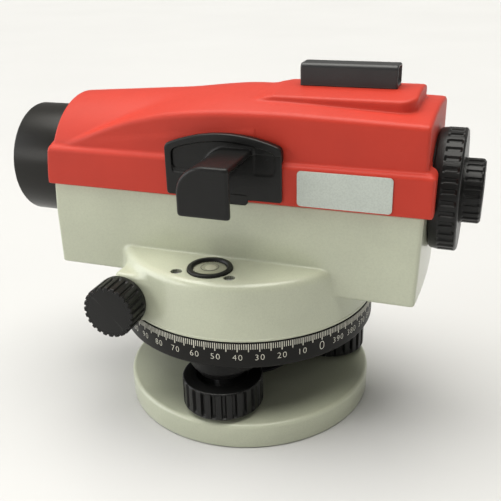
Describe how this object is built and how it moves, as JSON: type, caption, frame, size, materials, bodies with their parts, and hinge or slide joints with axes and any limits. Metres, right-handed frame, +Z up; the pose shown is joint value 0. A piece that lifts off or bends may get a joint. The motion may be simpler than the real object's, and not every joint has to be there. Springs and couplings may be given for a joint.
{
  "type": "automatic level",
  "caption": "Surveying level: telescope housing on a levelling base with foot screws, graduated circle, circular vial, mirror, peep sight, fine drive and focusing.",
  "frame": {"origin": "centre of the base plate's underside", "axes": "+Z up along the vertical axis; +X along the line of sight, from the objective towards the eyepiece; -Y the side with the circular vial"},
  "size_m": [0.2141, 0.1312, 0.1615],
  "materials": {
    "grey_paint": "light grey-green gloss paint on cast aluminium",
    "red_plastic": "red moulded plastic, satin",
    "black_plastic": "black moulded plastic, satin",
    "black_metal": "black paint on aluminium",
    "steel": "turned steel",
    "brass_parts": "turned brass",
    "bare_aluminium": "machined aluminium",
    "plate": "silver plate, satin, blank",
    "clear_glass": "clear, polished",
    "mirror_glass": "silvered"
  },
  "bodies": {
    "base": {"base_plate": "grey_paint"},
    "foot_front": {"foot_knob_front": "black_plastic", "foot_spindle_front": "steel"},
    "foot_left": {"foot_knob_left": "black_plastic", "foot_spindle_left": "steel"},
    "foot_right": {"foot_knob_right": "black_plastic", "foot_spindle_right": "steel"},
    "tilt_link": {"spring_plate": "steel"},
    "tribrach": {"tribrach": "black_metal", "foot_nut_front": "brass_parts", "foot_nut_left": "brass_parts", "foot_nut_right": "brass_parts", "vertical_spindle": "steel"},
    "circle": {"graduated_circle": "black_plastic"},
    "clutch_wheel": {"worm_wheel": "brass_parts"},
    "alidade": {"main_housing": "grey_paint", "top_cover": "red_plastic", "peep_sight": "black_plastic", "sight_glass": "clear_glass", "name_plate": "plate", "mirror_bracket": "black_plastic", "mirror": "mirror_glass", "vial_ring": "black_plastic", "vial_glass": "clear_glass", "vial_screw_left": "steel", "vial_screw_right": "steel", "cover_screw_a": "steel", "cover_screw_b": "steel", "cover_screw_c": "steel", "cover_screw_d": "steel", "objective_barrel": "black_plastic", "objective_retainer": "black_metal", "objective_lens_front": "clear_glass", "objective_lens_rear": "clear_glass", "focus_guide_tube": "bare_aluminium", "compensator_frame": "bare_aluminium", "fixed_prism_front": "clear_glass", "fixed_prism_rear": "clear_glass", "damper": "steel", "reticle_ring": "brass_parts", "reticle_glass": "clear_glass", "eyepiece_body": "black_metal", "eyepiece_cover_ring": "black_plastic"},
    "tangent_drive": {"tangent_shaft": "steel", "tangent_knob_near": "black_plastic", "tangent_knob_far": "black_plastic"},
    "focus_drive": {"focus_knob": "black_plastic", "focus_pinion": "steel"},
    "focus_slide_cell": {"focus_cell": "black_metal", "focus_lens": "clear_glass"},
    "eyepiece_ring_body": {"eyepiece_ring": "black_plastic"},
    "eyepiece_cell_body": {"eyepiece_cell": "black_metal", "eyepiece_lens": "clear_glass"},
    "pendulum_body": {"pendulum": "steel", "pendulum_prism": "clear_glass"}
  },
  "joints": [
    {"name": "front_spin", "type": "hinge", "parent": "base", "child": "foot_front", "pos_m": [0.00222, -0.04244, 0.0124], "axis": [0, 0, 1], "range_deg": [-720, 720]},
    {"name": "left_spin", "type": "hinge", "parent": "base", "child": "foot_left", "pos_m": [-0.03787, 0.01929, 0.0124], "axis": [0, 0, 1], "range_deg": [-360, 360]},
    {"name": "right_spin", "type": "hinge", "parent": "base", "child": "foot_right", "pos_m": [0.03564, 0.02315, 0.0124], "axis": [0, 0, 1], "range_deg": [-360, 360]},
    {"name": "tilt_x", "type": "hinge", "parent": "base", "child": "tilt_link", "pos_m": [-0.00111, 0.02122, 0.035], "axis": [0.9986, 0.0523, 0], "range_deg": [-1.36, 1.36]},
    {"name": "tilt_y", "type": "hinge", "parent": "tilt_link", "child": "tribrach", "pos_m": [0, 0, 0.035], "axis": [0.0523, -0.9986, 0], "range_deg": [-1.18, 1.18]},
    {"name": "circle_turn", "type": "hinge", "parent": "tribrach", "child": "circle", "pos_m": [0, 0, 0.048], "axis": [0, 0, 1], "continuous": true},
    {"name": "clutch_turn", "type": "hinge", "parent": "tribrach", "child": "clutch_wheel", "pos_m": [0, 0, 0.0637], "axis": [0, 0, 1], "continuous": true},
    {"name": "fine_turn", "type": "hinge", "parent": "clutch_wheel", "child": "alidade", "pos_m": [0, 0, 0.0637], "axis": [0, 0, 1], "continuous": true},
    {"name": "tangent_spin", "type": "hinge", "parent": "alidade", "child": "tangent_drive", "pos_m": [-0.04, 0, 0.0637], "axis": [0, 1, 0], "continuous": true},
    {"name": "focus_spin", "type": "hinge", "parent": "alidade", "child": "focus_drive", "pos_m": [-0.018, 0.036, 0.097], "axis": [0, 1, 0], "range_deg": [0, 330]},
    {"name": "focus_travel", "type": "slide", "parent": "alidade", "child": "focus_slide_cell", "axis": [1, 0, 0], "range_m": [0, 0.01845]},
    {"name": "eyepiece_spin", "type": "hinge", "parent": "alidade", "child": "eyepiece_ring_body", "pos_m": [0.1, 0, 0.1104], "axis": [1, 0, 0], "range_deg": [-180, 180]},
    {"name": "eyepiece_travel", "type": "slide", "parent": "alidade", "child": "eyepiece_cell_body", "axis": [1, 0, 0], "range_m": [-0.0015, 0.0015]},
    {"name": "pendulum_swing", "type": "hinge", "parent": "alidade", "child": "pendulum_body", "pos_m": [0.025, 0, 0.1306], "axis": [0, 1, 0], "range_deg": [-0.25, 0.25]}
  ],
  "couplings": [
    {"joint": "right_spin", "follows": "left_spin", "ratio": -1},
    {"joint": "tilt_x", "follows": "front_spin", "ratio": 0.0018724},
    {"joint": "tilt_y", "follows": "left_spin", "ratio": 0.0032431},
    {"joint": "fine_turn", "follows": "tangent_spin", "ratio": -0.013889},
    {"joint": "focus_travel", "follows": "focus_spin", "m_per_rad": 0.0032},
    {"joint": "eyepiece_travel", "follows": "eyepiece_spin", "m_per_rad": 0.000477}
  ]
}
